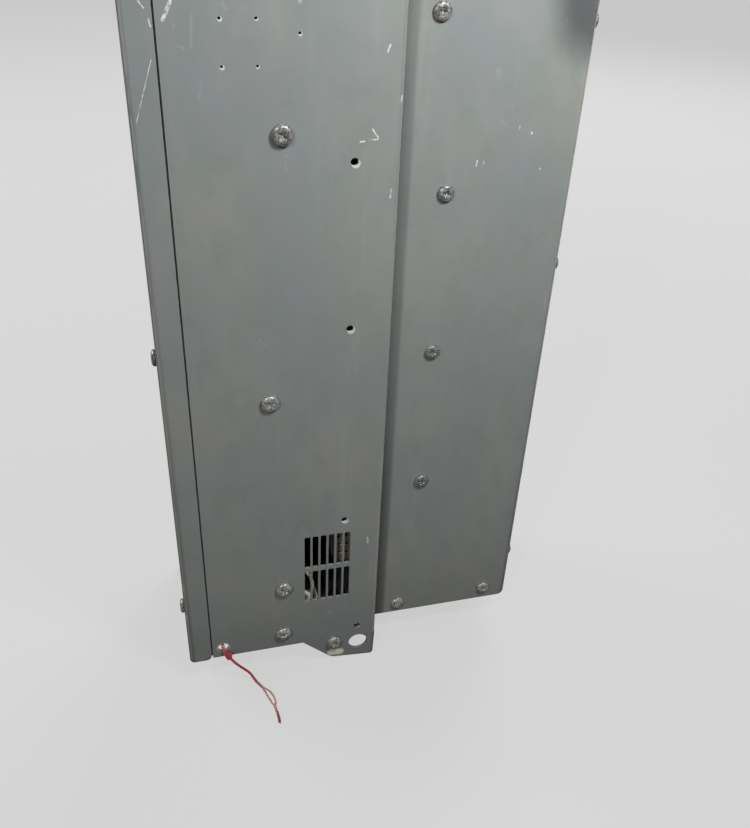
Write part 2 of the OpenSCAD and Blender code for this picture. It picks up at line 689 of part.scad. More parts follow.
module hinge_frame_leaves() color([0.5, 0.5, 0.5]) placed() for (z = hinge_places) {
    bottom = z - 1.5 * knuckle_h;
    leaf_t = 1;
    difference() {
        union() {
            translate([86.5, cabinet_d, bottom]) cube([hinge_axis[0] - 86.5, leaf_t, 3 * knuckle_h]);
            for (i = [0, 2]) {
                translate([hinge_axis[0] - 2, cabinet_d, bottom + i * knuckle_h]) cube([2, 1.5, knuckle_h]);
                translate([hinge_axis[0], hinge_axis[1], bottom + i * knuckle_h])
                    cylinder(r = knuckle_r, h = knuckle_h);
            }
        }
        translate([hinge_axis[0], hinge_axis[1], bottom - 1])
            cylinder(r = hinge_pin_r, h = 3 * knuckle_h + 2);
        translate([hinge_axis[0] - 3.2, cabinet_d - 1, bottom + knuckle_h - hinge_clear])
            cube([8, 9, knuckle_h + 2 * hinge_clear]);
    }
}

module hinge_door_leaves() color([0.5, 0.5, 0.5]) placed() for (z = hinge_places) {
    leaf_z = z - knuckle_h / 2;
    difference() {
        union() {
            translate([door_x[1], hinge_axis[1] - 0.6, leaf_z]) cube([1, 7, knuckle_h]);
            translate([door_x[1], hinge_axis[1] - 0.6, leaf_z])
                cube([hinge_axis[0] - door_x[1], 1.2, knuckle_h]);
            translate([hinge_axis[0], hinge_axis[1], leaf_z]) cylinder(r = knuckle_r, h = knuckle_h);
        }
        translate([hinge_axis[0], hinge_axis[1], leaf_z - 1])
            cylinder(r = hinge_pin_r + fit_gap, h = knuckle_h + 2);
    }
}

module hinge_pins() color([0.6, 0.6, 0.6]) placed() for (z = hinge_places)
    translate([hinge_axis[0], hinge_axis[1], z - 1.5 * knuckle_h - 1]) {
        cylinder(r = hinge_pin_r, h = 3 * knuckle_h + 2);
        for (end = [0, 3 * knuckle_h + 1]) translate([0, 0, end]) cylinder(r = hinge_pin_r + 0.5, h = 1);
    }

// Latch: a housing and nut in the door, and a knob whose shaft turns the cam

shaft_r = 4;

module latch_axis(y) translate([latch_at[0], y, latch_at[1]]) rotate([-90, 0, 0]) children();

module latch_housing() color([0.2, 0.2, 0.21]) placed() difference() {
    union() {
        latch_axis(door_y[1]) cylinder(r = 12, h = 2);
        latch_axis(99) cylinder(r = latch_bore_r, h = door_y[1] - 99 + 1);
    }
    latch_axis(98) cylinder(r = shaft_r + fit_gap, h = 20);
}

module latch_nut() color([0.55, 0.55, 0.56]) placed()
    latch_axis(door_y[1] - sheet_t - 4) hex_nut(20.4, 4, latch_bore_r + 0.1);

module latch_knob() color([0.15, 0.15, 0.16]) placed() {
    grip_y = door_y[1] + 2 + part_gap;
    latch_axis(grip_y) cylinder(r = 10, h = 2.6);
    latch_axis(grip_y) linear_extrude(door_y[1] + knob_h - grip_y) {
        translate([-3, -8]) square([6, 16]);
        for (end = [-8, 8]) translate([0, end]) circle(3);
    }
    latch_axis(94) cylinder(r = shaft_r, h = grip_y - 94 + 0.01);
}

// Cam arm, pointing down at rest
module latch_cam() color([0.6, 0.6, 0.58]) placed() latch_axis(96) linear_extrude(2) difference() {
    reach = 16;
    arm_w = 8;
    union() {
        circle(6.5);
        translate([-arm_w / 2, 0]) square([arm_w, reach]);
        translate([0, reach]) circle(4.5);
    }
    circle(shaft_r);
}

// Glands in the bottom plate

gland_bore_r = 8.5;
gland_thread_r = 11.5;
gland_low = -13;

module at_glands() for (at = gland_places) translate([at[0], at[1], 0]) children();

module gland_bodies() color([0.2, 0.2, 0.21]) placed() at_glands() difference() {
    union() {
        translate([0, 0, gland_z - 7]) cylinder(r = 16.5, h = 7, $fn = 6);
        translate([0, 0, gland_z - 0.01]) cylinder(r = gland_hole_r - 0.1, h = 11);
        translate([0, 0, -4]) cylinder(r = gland_thread_r - 0.1, h = gland_z + 2);
    }
    translate([0, 0, -5]) cylinder(r = gland_bore_r + 1, h = gland_z + 20);
}

module gland_locknuts() color([0.2, 0.2, 0.21]) placed() at_glands() translate([0, 0, gland_z + sheet_t])
    hex_nut(30, 5, gland_hole_r);

module gland_caps() color([0.2, 0.2, 0.21]) placed() at_glands() difference() {
    union() {
        translate([0, 0, -5]) cylinder(r = 15.5, h = 11, $fn = 6);
        rotate_extrude() polygon([[gland_bore_r, gland_low], [11, gland_low], [13, gland_low + 3.5],
            [13.4, -4.99], [gland_bore_r, -4.99]]);
    }
    translate([0, 0, gland_low - 1]) cylinder(r = gland_bore_r, h = 30);
    translate([0, 0, -8]) cylinder(r = gland_thread_r, h = 20);
}

module gland_seals() color([0.08, 0.08, 0.08]) placed() at_glands() translate([0, 0, -7.9]) difference() {
    cylinder(r = gland_thread_r - 0.1, h = 3.8);
    translate([0, 0, -1]) cylinder(r = gland_bore_r, h = 6);
}

rear_pan();
right_side_panel();
left_side_panel();
top_plate();
bottom_plate();
seam_strip();
front_frame();
frame_screws();
rear_screws_large();
rear_screws_small();
earth_screw();
side_screws();
breaker_pan();
pan_spacers();
pan_nuts();
bus_base();
bus_bar_a();
bus_bar_b();
hook_rail();
main_breaker();
main_handle();
branch_breaker(1);  // breaker_1
branch_breaker(2);  // breaker_2
branch_breaker(3);  // breaker_3
branch_breaker(4);  // breaker_4
branch_breaker(5);  // breaker_5
branch_breaker(6);  // breaker_6
branch_handle(1);  // handle_1
branch_handle(2);  // handle_2
branch_handle(3);  // handle_3
branch_handle(4);  // handle_4
branch_handle(5);  // handle_5
branch_handle(6);  // handle_6
dead_front();
dead_front_posts();
dead_front_screws();
neutral_bar();
neutral_insulators();
earth_bar();
bar_screws();
cable_saddle();
terminal_block();
surge_module();
bonding_wire();
door();
door_gasket();
hinge_frame_leaves();
hinge_door_leaves();
hinge_pins();
latch_housing();
latch_nut();
latch_knob();
latch_cam();
gland_bodies();
gland_locknuts();
gland_caps();
gland_seals();
tag_string();
string_knot();
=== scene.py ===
"""Looks of a stepped grey subpanel enclosure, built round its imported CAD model."""
import json
import math
import random

import bmesh
import bpy
from mathutils import Matrix, Quaternion, Vector


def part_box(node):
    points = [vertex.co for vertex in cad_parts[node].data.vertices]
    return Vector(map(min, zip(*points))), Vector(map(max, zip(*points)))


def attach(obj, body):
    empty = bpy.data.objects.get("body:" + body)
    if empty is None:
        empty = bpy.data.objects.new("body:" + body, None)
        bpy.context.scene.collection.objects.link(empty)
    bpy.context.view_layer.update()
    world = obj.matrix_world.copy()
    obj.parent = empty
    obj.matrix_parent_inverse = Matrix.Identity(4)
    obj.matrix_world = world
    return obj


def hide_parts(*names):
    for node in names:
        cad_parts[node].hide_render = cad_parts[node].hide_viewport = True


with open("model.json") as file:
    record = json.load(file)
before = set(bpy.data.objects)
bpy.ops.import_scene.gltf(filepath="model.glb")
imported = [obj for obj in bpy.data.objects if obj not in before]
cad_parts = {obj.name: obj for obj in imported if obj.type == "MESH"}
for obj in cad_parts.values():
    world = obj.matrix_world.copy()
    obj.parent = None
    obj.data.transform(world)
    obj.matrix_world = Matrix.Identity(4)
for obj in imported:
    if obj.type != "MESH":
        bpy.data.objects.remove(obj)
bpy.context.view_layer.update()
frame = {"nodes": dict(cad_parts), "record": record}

NODES = frame["nodes"]
BODIES = frame["record"]["behaviour"]["bodies"]
SLOT_OF = {part["node"]: part["material_slot"] for part in frame["record"]["subparts"]}
MM = 0.001

# Drawing places are in millimetres: x from the middle, y forward from the raised rear face and z up from
# the rear sheet's bottom edge.
REAR_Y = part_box("rear_pan")[0].y
EDGE_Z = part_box("right_side_panel")[0].z
STEP_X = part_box("rear_pan")[1].x / MM
SEAM_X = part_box("left_side_panel")[1].x / MM
HALF_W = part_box("right_side_panel")[1].x / MM
REAR = (0, -1, 0)
FRONT = (0, 1, 0)


def at(x, y, z):
    """Turns a drawing place in millimetres into the frame's metres."""
    return Vector((x * MM, REAR_Y + y * MM, EDGE_Z + z * MM))


def flat(x, z):
    """A drawing place on the rear in the frame's millimetres, with its depth left out."""
    place = at(x, 0, z) / MM
    return Vector((place.x, 0, place.z))


# ---------------------------------------------------------------- camera

CAMERA_AT = (-0.0975, -0.4131, 0.4191)
CAMERA_AZIMUTH = 16.06
CAMERA_DIP = 33.25
CAMERA_ROLL = 2.69
CAMERA_LENS = 37.7


def make_camera():
    data = bpy.data.cameras.new("camera")
    data.sensor_width = 36
    data.lens = CAMERA_LENS
    data.clip_start = 0.01
    data.clip_end = 50
    camera = bpy.data.objects.new("camera", data)
    bpy.context.scene.collection.objects.link(camera)
    azimuth = math.radians(CAMERA_AZIMUTH)
    dip = math.radians(CAMERA_DIP)
    forward = Vector((math.sin(azimuth) * math.cos(dip), math.cos(azimuth) * math.cos(dip), -math.sin(dip)))
    camera.location = CAMERA_AT
    camera.rotation_mode = "QUATERNION"
    roll = Quaternion((0, 0, 1), math.radians(CAMERA_ROLL))
    camera.rotation_quaternion = forward.to_track_quat("-Z", "Y") @ roll
    bpy.context.scene.camera = camera


make_camera()


# ---------------------------------------------------------------- node materials

class Finish:
    """A Principled material whose colour, roughness and bump are worked out by nodes in object space.

    Every coordinate inside it is in millimetres, because a frame object's own origin is the frame's.
    """

    def __init__(self, name, metallic=0.0, specular=0.5, sheen=0.0):
        self.material = bpy.data.materials.new(name)
        self.material.use_nodes = True
        self.tree = self.material.node_tree
        self.surface = self.tree.nodes["Principled BSDF"]
        self.surface.inputs["Metallic"].default_value = metallic
        self.surface.inputs["Specular IOR Level"].default_value = specular
        self.surface.inputs["Sheen Weight"].default_value = sheen
        coordinates = self.tree.nodes.new("ShaderNodeTexCoord")
        self.normal = coordinates.outputs["Normal"]
        self.place = self.vector("SCALE", coordinates.outputs["Object"], scale=1 / MM)
        self.parts = None
        self.bumps = []

    def wire(self, socket, value):
        if isinstance(value, bpy.types.NodeSocket):
            self.tree.links.new(value, socket)
        elif value is not None:
            socket.default_value = value

    def vector(self, operation, a, b=None, scale=None):
        node = self.tree.nodes.new("ShaderNodeVectorMath")
        node.operation = operation
        self.wire(node.inputs[0], a)
        if operation == "SCALE":
            self.wire(node.inputs["Scale"], scale)
        else:
            self.wire(node.inputs[1], b)
        return node.outputs["Value" if operation in ("DOT_PRODUCT", "DISTANCE", "LENGTH") else "Vector"]

    def math(self, operation, a, b=None, clamp=False):
        node = self.tree.nodes.new("ShaderNodeMath")
        node.operation = operation
        node.use_clamp = clamp
        self.wire(node.inputs[0], a)
        self.wire(node.inputs[1], b)
        return node.outputs[0]

    def axis(self, index):
        """The place's x, y or z, in millimetres."""
        if self.parts is None:
            node = self.tree.nodes.new("ShaderNodeSeparateXYZ")
            self.wire(node.inputs[0], self.place)
            self.parts = node.outputs
        return self.parts[index]

    def drawing(self, index):
        """The drawing's x, y or z at the place."""
        offset = (0, REAR_Y / MM, EDGE_Z / MM)[index]
        return self.math("SUBTRACT", self.axis(index), offset)

    def flat_place(self):
        return self.vector("MULTIPLY", self.place, (1, 0, 1))

    def distance_from(self, x, z):
        """Distance from a drawing place, seen square from the rear, in millimetres."""
        return self.vector("DISTANCE", self.flat_place(), tuple(flat(x, z)))

    def rearward(self, start, end):
        """Mask of the faces that look backwards, from one share of facing to another."""
        return self.fade(self.vector("DOT_PRODUCT", self.normal, REAR), start, end)

    def noise(self, size, detail, roughness, stretch=None):
        """Noise from 0 to 1 whose blobs are about size millimetres, longer along an axis with a stretch."""
        node = self.tree.nodes.new("ShaderNodeTexNoise")
        node.inputs["Scale"].default_value = 1 / size
        node.inputs["Detail"].default_value = detail
        node.inputs["Roughness"].default_value = roughness
        place = self.place
        if stretch:
            place = self.vector("MULTIPLY", place, [1 / factor for factor in stretch])
        self.wire(node.inputs["Vector"], place)
        return node.outputs["Fac"]

    def cells(self, size, output="Distance"):
        node = self.tree.nodes.new("ShaderNodeTexVoronoi")
        node.inputs["Scale"].default_value = 1 / size
        self.wire(node.inputs["Vector"], self.place)
        return node.outputs[output]

    def fade(self, value, start, end, low=0.0, high=1.0):
        """Smooth change from low to high as value goes from start to end."""
        node = self.tree.nodes.new("ShaderNodeMapRange")
        node.interpolation_type = "SMOOTHSTEP"
        self.wire(node.inputs["Value"], value)
        for name, number in (("From Min", start), ("From Max", end), ("To Min", low), ("To Max", high)):
            self.wire(node.inputs[name], number)
        return node.outputs["Result"]

    def mix(self, under, over, factor):
        node = self.tree.nodes.new("ShaderNodeMix")
        node.data_type = "RGBA"
        self.wire(node.inputs[0], factor)
        self.wire(node.inputs[6], under)
        self.wire(node.inputs[7], over)
        return node.outputs[2]

    def ramp(self, value, stops):
        node = self.tree.nodes.new("ShaderNodeValToRGB")
        elements = node.color_ramp.elements
        while len(elements) < len(stops):
            elements.new(0.5)
        for element, (position, colour) in zip(elements, stops):
            element.position = position
            element.color = colour
        self.wire(node.inputs[0], value)
        return node.outputs["Color"]

    def stroke(self, start, end, half_width, soft):
        """Mask of a straight mark on a rear face, between two drawing places given as x and z."""
        along = flat(*end) - flat(*start)
        offset = self.vector("SUBTRACT", self.flat_place(), tuple(flat(*start)))
        reach = self.vector("DOT_PRODUCT", offset, tuple(along / along.length_squared))
        share = self.math("ADD", reach, 0.0, clamp=True)
        nearest = self.vector("SCALE", tuple(along), scale=share)
        distance = self.vector("DISTANCE", offset, nearest)
        return self.fade(distance, half_width * (1 + soft), half_width * (1 - soft))

    def most(self, masks):
        total = masks[0]
        for mask in masks[1:]:
            total = self.math("MAXIMUM", total, mask)
        return total

    def product(self, *masks):
        total = masks[0]
        for mask in masks[1:]:
            total = self.math("MULTIPLY", total, mask)
        return total

    def bump(self, height, depth):
        """Adds relief of the given depth in millimetres."""
        self.bumps.append((height, depth))

    def finish(self, colour, roughness):
        self.wire(self.surface.inputs["Base Color"], colour)
        self.wire(self.surface.inputs["Roughness"], roughness)
        normal = None
        for height, depth in self.bumps:
            node = self.tree.nodes.new("ShaderNodeBump")
            node.inputs["Strength"].default_value = 1.0
            node.inputs["Distance"].default_value = depth * MM
            self.wire(node.inputs["Height"], height)
            self.wire(node.inputs["Normal"], normal)
            normal = node.outputs["Normal"]
        self.wire(self.surface.inputs["Normal"], normal)
        return self.material


def rgb(red, green, blue):
    """An sRGB colour from 0 to 255 as linear RGBA."""
    def linear(value):
        share = value / 255
        return share / 12.92 if share <= 0.04045 else ((share + 0.055) / 1.055) ** 2.4
    return (linear(red), linear(green), linear(blue), 1.0)


ENAMEL = rgb(137, 141, 139)
ENAMEL_BLUE = rgb(128, 135, 138)
ENAMEL_WARM = rgb(140, 142, 138)
ENAMEL_GREEN = rgb(128, 137, 132)
RUBBED_ENAMEL = rgb(182, 185, 181)
PRIMER = rgb(226, 228, 223)
BARE = rgb(232, 226, 208)
BROWN = rgb(112, 94, 80)
# grey of the painted shade patch on the upper right
PATCH_SHADE_GREY = rgb(54, 59, 63)


def enamel_base(finish):
    """Satin grey enamel with slow patches of hue and brightness, and its roughness."""
    patches = finish.noise(46, 3, 0.6, (1, 1, 1.6))
    colour = finish.mix(ENAMEL_BLUE, ENAMEL_WARM, finish.fade(patches, 0.35, 0.65))
    colour = finish.mix(colour, ENAMEL, 0.35)
    mottling = finish.noise(11, 3, 0.6, (1, 1, 2.2))
    colour = finish.mix(colour, ENAMEL_GREEN, finish.fade(mottling, 0.42, 0.62, 0, 0.5))
    streaks = finish.noise(7, 4, 0.6, (1, 1, 14))
    colour = finish.mix(colour, rgb(160, 164, 162), finish.fade(streaks, 0.55, 0.8, 0, 0.16))
    grime = finish.noise(15, 5, 0.7)
    colour = finish.mix(colour, rgb(100, 103, 101), finish.fade(grime, 0.5, 0.78, 0, 0.16))
    roughness = finish.fade(finish.noise(24, 4, 0.6), 0.3, 0.7, 0.36, 0.5)
    finish.bump(finish.noise(0.9, 2, 0.5), 0.012)
    finish.bump(finish.noise(70, 1, 0.5), 0.35)
    return colour, roughness


def dust_specks(finish, spacing, radius):
    """Mask of round specks, kept in about half of their cells."""
    spots = finish.cells(spacing)
    keep = finish.fade(finish.noise(spacing * 2.3, 1, 0.5), 0.5, 0.54)
    return finish.product(finish.fade(spots, radius / spacing, 0.4 * radius / spacing), keep)


# Marks on the rear faces, each from one place to another (x and height above the edge) with its half width
WHITE_MARKS = [
    ((-80.7, 349.4), (-83.9, 343.4), 0.62), ((-79.6, 352.6), (-80.7, 349.4), 0.35),
    ((-89.4, 329.5), (-97.2, 306.5), 0.16), ((-92.6, 350.6), (-90.3, 347.4), 0.26),
    ((-83.6, 353), (-82.6, 351.8), 0.3), ((-88.9, 343.6), (-88.5, 341.2), 0.3),
    ((-2.4, 301.4), (0.2, 297.8), 0.36), ((0, 297.1), (-3.6, 296.9), 0.3),
    ((-5.6, 296.6), (-7.6, 296.3), 0.3), ((3.4, 77.2), (3.6, 72.2), 0.42), ((-18.7, 23.4), (-17.3, 21.7), 0.3),
    ((-33.2, 351), (-32.6, 349.5), 0.5), ((54, 281.4), (54.2, 280.7), 0.35),
    ((50.7, 282.3), (50.4, 279.9), 0.32),
    ((3.6, 334.1), (2.6, 331.6), 0.34), ((9.6, 314.4), (9.3, 312), 0.32), ((7, 275.3), (6.7, 271.6), 0.34),
    ((69.3, 297.2), (69.5, 295.8), 0.3), ((75.6, 294.2), (75.8, 293.5), 0.3),
    ((82.2, 277.4), (82.5, 277), 0.3), ((99, 353), (100, 350), 1),
    ((98, 69), (98.6, 68.4), 0.35),
]
FAINT_MARKS = [
    ((-73.2, 345.4), (-74.4, 333.5), 0.5), ((-71.6, 321), (-72.8, 314), 0.35), ((-62, 349), (-60.4, 347), 0.6),
    ((-80.6, 343), (-80.2, 341), 0.5), ((-79, 334.5), (-77.4, 333.6), 0.6),
    ((-38.8, 292), (-39.2, 286), 0.4), ((95.2, 214), (96.6, 203), 0.3), ((93.8, 30), (98.8, 16), 0.3),
    ((56.2, 321), (56.6, 318.4), 1), ((64.4, 307), (64.6, 305), 0.3), ((60, 300), (63, 297), 0.35),
    ((-34, 91), (-33.2, 86), 0.4), ((-30.5, 84), (-30.2, 78), 0.5), ((5.8, 60), (6.4, 44), 0.3),
    ((-53, 207), (-50, 204), 0.4),
]


def rear_marks(finish):
    """White scratches down to the primer and fainter rubbed ones, on faces that look backwards."""
    outside = finish.rearward(0.2, 0.6)
    grain = finish.fade(finish.noise(1.1, 4, 0.75, (1, 1, 1.6)), 0.36, 0.58)
    white = finish.most([finish.stroke(*mark, soft=0.6) for mark in WHITE_MARKS])
    faint = finish.most([finish.stroke(*mark, soft=0.9) for mark in FAINT_MARKS])
    return finish.product(white, grain, outside, 0.9), finish.product(faint, grain, outside, 0.26)


def edge_chips(finish, edge, width, size, limit):
    """Mask of chips of a size along the upright edge at a drawing x; a higher limit leaves fewer."""
    distance = finish.math("ABSOLUTE", finish.math("SUBTRACT", finish.drawing(0), edge))
    close = finish.fade(distance, width, 0)
    ragged = finish.noise(size, 4, 0.65, (1, 1, 1.8))
    return finish.fade(finish.product(close, ragged), limit, limit + 0.05)


STRING_HOLE = (-80.5, 7.3)
LOW_HOLE = (-0.8, 7.4)
# Holes with a worn rim below and to the right: x, height and the radius where the rim starts
SPARE_HOLES = [(-9.7, 287.9, 1.8), (-9.9, 208.7, 1.8), (-10.2, 91.3, 1.8), (*LOW_HOLE, 1.2)]
PILOT_HOLES = [(-63.3, 343.9, 0.75), (-63.3, 326.7, 0.75), (-49.5, 343.9, 0.55), (-49.5, 326.7, 0.55),
               (-32.8, 338.6, 0.65)]


def hole_rims(finish):
    """Mask of the bare crescents at the lower right of the small holes."""
    rims = []
    for x, z, radius in SPARE_HOLES + PILOT_HOLES:
        distance = finish.distance_from(x + 0.3 * radius, z - 0.36 * radius)
        rims.append(finish.fade(distance, radius + 0.4, radius))
    near = finish.fade(finish.drawing(1), 2.5, 2)
    return finish.product(finish.most(rims), near)


def turned_edge(finish, start, end):
    """Mask of an upright line round the long outer bends, between two distances from the side's plane."""
    aside = finish.math("SUBTRACT", HALF_W, finish.math("ABSOLUTE", finish.axis(0)))
    line = finish.product(finish.fade(aside, start - 0.15, start + 0.05), finish.fade(aside, end + 0.25, end))
    broken = finish.fade(finish.noise(9, 4, 0.7, (1, 1, 3)), 0.36, 0.5)
    return finish.product(line, finish.rearward(0.02, 0.1), broken)


def shade_patch_paint(finish):
    """Mask of a painted shade patch on the recessed wall's upper right, which runs a little way round the bend."""
    half_width = 20
    half_height = 34
    offset = finish.vector("SUBTRACT", finish.flat_place(), tuple(flat(97, 355)))
    distance = finish.vector("LENGTH", finish.vector("MULTIPLY", offset, (1 / half_width, 1, 1 / half_height)))
    uneven = finish.math("ADD", distance, finish.fade(finish.noise(22, 2, 0.5), 0.2, 0.8, -0.1, 0.1))
    right = finish.fade(finish.drawing(0), 40, 60)
    return finish.product(finish.fade(uneven, 1.2, 0.5), finish.fade(finish.drawing(1), 34, 16), right)


def step_shadow_paint(finish):
    """Mask of the painted shadow that the step casts into the inner corner beside it, heavier towards the foot."""
    beside = finish.product(finish.fade(finish.drawing(0), STEP_X + 11, STEP_X), finish.fade(finish.drawing(1), 6, 9))
    return finish.product(beside, finish.fade(finish.drawing(2), 190, 70, 0.6, 0.92))


def tab_wear(finish):
    """Masks of the rust round the bottom tab's edges and of the scraped place under the earth screw."""
    tab = finish.product(finish.fade(finish.drawing(2), 0, -2), finish.fade(finish.drawing(1), 4, 3))
    border = finish.most([finish.fade(finish.drawing(2), -15.4, -18), finish.fade(finish.drawing(0), 6.6, 9.6)])
    rust = finish.product(tab, finish.fade(finish.product(border, finish.noise(3, 4, 0.7)), 0.25, 0.45))
    scraped = finish.product(finish.stroke((-16.4, -12.4), (-11, -13), 2.4, 0.4), tab,
                             finish.fade(finish.noise(1.9, 4, 0.7), 0.2, 0.4))
    return rust, scraped


def low_edge(finish):
    """Mask of the worn bottom edge on both sides of the tab."""
    edge = finish.product(finish.fade(finish.drawing(2), 0.9, 0.1), finish.fade(finish.drawing(2), -1.8, -1.4))
    aside = finish.most([finish.fade(finish.drawing(0), -33, -35), finish.fade(finish.drawing(0), 10, 12)])
    return finish.product(edge, aside, finish.fade(finish.noise(6, 4, 0.6), 0.4, 0.6))


def string_ring(finish):
    """Mask of the rubbed ring round the string's hole."""
    ring = finish.fade(finish.distance_from(*STRING_HOLE), 4.4, 3.3)
    return finish.product(ring, finish.fade(finish.noise(2.6, 3, 0.6), 0.35, 0.5))


def low_hole_shade_paint(finish):
    """Mask of the painted shade on the wall inside the spare hole above the tab."""
    inside = finish.fade(finish.distance_from(*LOW_HOLE), 1.95, 1.85)
    return finish.product(inside, finish.fade(finish.drawing(1), 0.1, 0.4))


def case_paint():
    """Enamel of the cabinet's panels with its scratches, chipped edges, rust and dust, and painted shadow, shade and
    highlights.
    """
    finish = Finish("case_paint")
    colour, roughness = enamel_base(finish)
    # painted shade patch on the recessed wall's upper right
    colour = finish.mix(colour, PATCH_SHADE_GREY, finish.product(shade_patch_paint(finish), 0.74))
    # painted shadow of the step on the recessed wall
    colour = finish.mix(colour, rgb(50, 51, 48), step_shadow_paint(finish))
    # painted shade: the colour darkens towards the bottom, broken by noise
    low_shade_paint = finish.product(finish.fade(finish.drawing(2), 60, -12), finish.noise(20, 4, 0.6))
    colour = finish.mix(colour, rgb(92, 92, 84), finish.product(low_shade_paint, 0.35))
    specks = dust_specks(finish, 9, 0.28)
    colour = finish.mix(colour, rgb(190, 193, 190), finish.product(specks, 0.5))
    white, faint = rear_marks(finish)
    colour = finish.mix(colour, rgb(178, 182, 180), faint)
    left = finish.fade(finish.drawing(0), 5, -5)
    right = finish.fade(finish.drawing(0), -5, 5)
    colour = finish.mix(colour, rgb(74, 62, 62), finish.product(turned_edge(finish, -0.2, 0.45), left, 0.4))
    # painted highlight: pale pinkish line along the right bend
    colour = finish.mix(colour, rgb(206, 184, 174), finish.product(turned_edge(finish, -0.2, 0.8), right, 0.8))
    # pale line along both bends, partly worn paint and partly painted highlight along the fold
    colour = finish.mix(colour, rgb(196, 192, 184), finish.product(turned_edge(finish, 0.7, 1.3), 0.5))
    chips = finish.most([
        edge_chips(finish, STEP_X - 0.4, 0.9, 2.2, 0.66),
        edge_chips(finish, -HALF_W + 0.6, 1.2, 5, 0.61),
        edge_chips(finish, SEAM_X, 0.5, 3, 0.65),
        finish.product(hole_rims(finish), 0.62),
    ])
    colour = finish.mix(colour, PRIMER, finish.most([white, chips]))
    rust, scraped = tab_wear(finish)
    colour = finish.mix(colour, BROWN, finish.product(rust, 0.6))
    colour = finish.mix(colour, BARE, scraped)
    colour = finish.mix(colour, rgb(104, 92, 82), finish.product(low_edge(finish), 0.6))
    colour = finish.mix(colour, rgb(196, 182, 174), finish.product(string_ring(finish), 0.8))
    # painted shade inside the spare hole above the tab
    colour = finish.mix(colour, rgb(38, 38, 36), finish.product(low_hole_shade_paint(finish), 0.85))
    bare = finish.most([white, chips, scraped])
    roughness = finish.math("ADD", roughness, finish.product(bare, 0.2))
    finish.bump(finish.math("MULTIPLY", bare, -1.0), 0.08)
    return finish.finish(colour, roughness)


def front_paint():
    """The same enamel on the door side, cleaner and a little glossier."""
    finish = Finish("front_paint")
    colour, roughness = enamel_base(finish)
    rubbed = finish.fade(finish.noise(2.4, 5, 0.7, (1, 1, 3)), 0.7, 0.76)
    colour = finish.mix(colour, PRIMER, finish.product(rubbed, 0.35))
    specks = dust_specks(finish, 8, 0.25)
    colour = finish.mix(colour, rgb(188, 190, 188), finish.product(specks, 0.4))
    return finish.finish(colour, finish.math("SUBTRACT", roughness, 0.04))


def dark_steel():
    """Dark plated steel rubbed bright in specks, under what is left of the enamel."""
    finish = Finish("dark_steel", metallic=0.35)
    mottled = finish.noise(1.2, 5, 0.75)
    colour = finish.mix(rgb(96, 97, 97), rgb(168, 168, 165), finish.fade(mottled, 0.42, 0.62))
    colour = finish.mix(colour, rgb(96, 84, 72), finish.fade(finish.noise(3.2, 4, 0.6), 0.58, 0.78, 0, 0.35))
    colour = finish.mix(colour, RUBBED_ENAMEL, screw_paint(finish))
    finish.bump(finish.noise(0.5, 3, 0.6), 0.02)
    return finish.finish(colour, finish.fade(mottled, 0.3, 0.7, 0.28, 0.42))


def screw_paint(finish):
    """The lowest screws, and the one in the middle of the pan, still carry much of the cabinet's enamel."""
    low = finish.fade(finish.drawing(2), 70, 50)
    middle = finish.product(finish.fade(finish.drawing(2), 160, 164), finish.fade(finish.drawing(2), 179, 175))
    left = finish.fade(finish.drawing(0), 0, -5)
    patches = finish.fade(finish.noise(1.8, 4, 0.7), 0.42, 0.56)
    return finish.product(finish.most([low, finish.product(middle, left, 0.7)]), patches)


def zinc_steel():
    """Galvanized steel with its spangle and whitish bloom."""
    finish = Finish("zinc_steel", metallic=0.85)
    spangle = finish.cells(6, "Color")
    grey = finish.tree.nodes.new("ShaderNodeRGBToBW")
    finish.wire(grey.inputs[0], spangle)
    colour = finish.mix(rgb(150, 152, 150), rgb(176, 178, 174), grey.outputs[0])
    colour = finish.mix(colour, rgb(206, 204, 196), finish.fade(finish.noise(11, 5, 0.7), 0.55, 0.75, 0, 0.5))
    finish.bump(finish.noise(0.6, 2, 0.5), 0.01)
    return finish.finish(colour, finish.fade(finish.noise(9, 3, 0.6), 0.3, 0.7, 0.3, 0.46))


def tinned_bar():
    """Tinned copper, brushed along the bars, with dull patches."""
    finish = Finish("tinned_bar", metallic=0.95)
    brushed = finish.noise(0.8, 4, 0.6, (1, 1, 30))
    colour = finish.mix(rgb(172, 174, 176), rgb(208, 209, 210), brushed)
    colour = finish.mix(colour, rgb(120, 116, 106), finish.fade(finish.noise(7, 4, 0.7), 0.58, 0.76, 0, 0.5))
    finish.bump(brushed, 0.015)
    return finish.finish(colour, finish.fade(brushed, 0.2, 0.8, 0.24, 0.4))


def moulded(name, dark, light, roughness, grain=0.5):
    """Moulded plastic with a fine spark texture, slight colour drift and dust."""
    finish = Finish(name)
    colour = finish.mix(dark, light, finish.fade(finish.noise(18, 4, 0.6), 0.3, 0.7))
    dust = finish.fade(finish.noise(5, 5, 0.75), 0.56, 0.74, 0, 0.16)
    colour = finish.mix(colour, rgb(150, 146, 138), dust)
    finish.bump(finish.noise(grain, 3, 0.6), 0.02)
    return finish.finish(colour, finish.fade(finish.noise(10, 3, 0.5), 0.3, 0.7, roughness - 0.05, roughness + 0.07))


def rubber():
    """Matt black rubber with dust."""
    finish = Finish("black_rubber", specular=0.35)
    colour = finish.mix(rgb(24, 24, 25), rgb(40, 40, 41), finish.noise(6, 4, 0.6))
    colour = finish.mix(colour, rgb(110, 108, 104), finish.fade(finish.noise(3, 5, 0.8), 0.62, 0.8, 0, 0.25))
    finish.bump(finish.noise(0.35, 2, 0.5), 0.03)
    return finish.finish(colour, finish.fade(finish.noise(4, 3, 0.5), 0.3, 0.7, 0.68, 0.84))


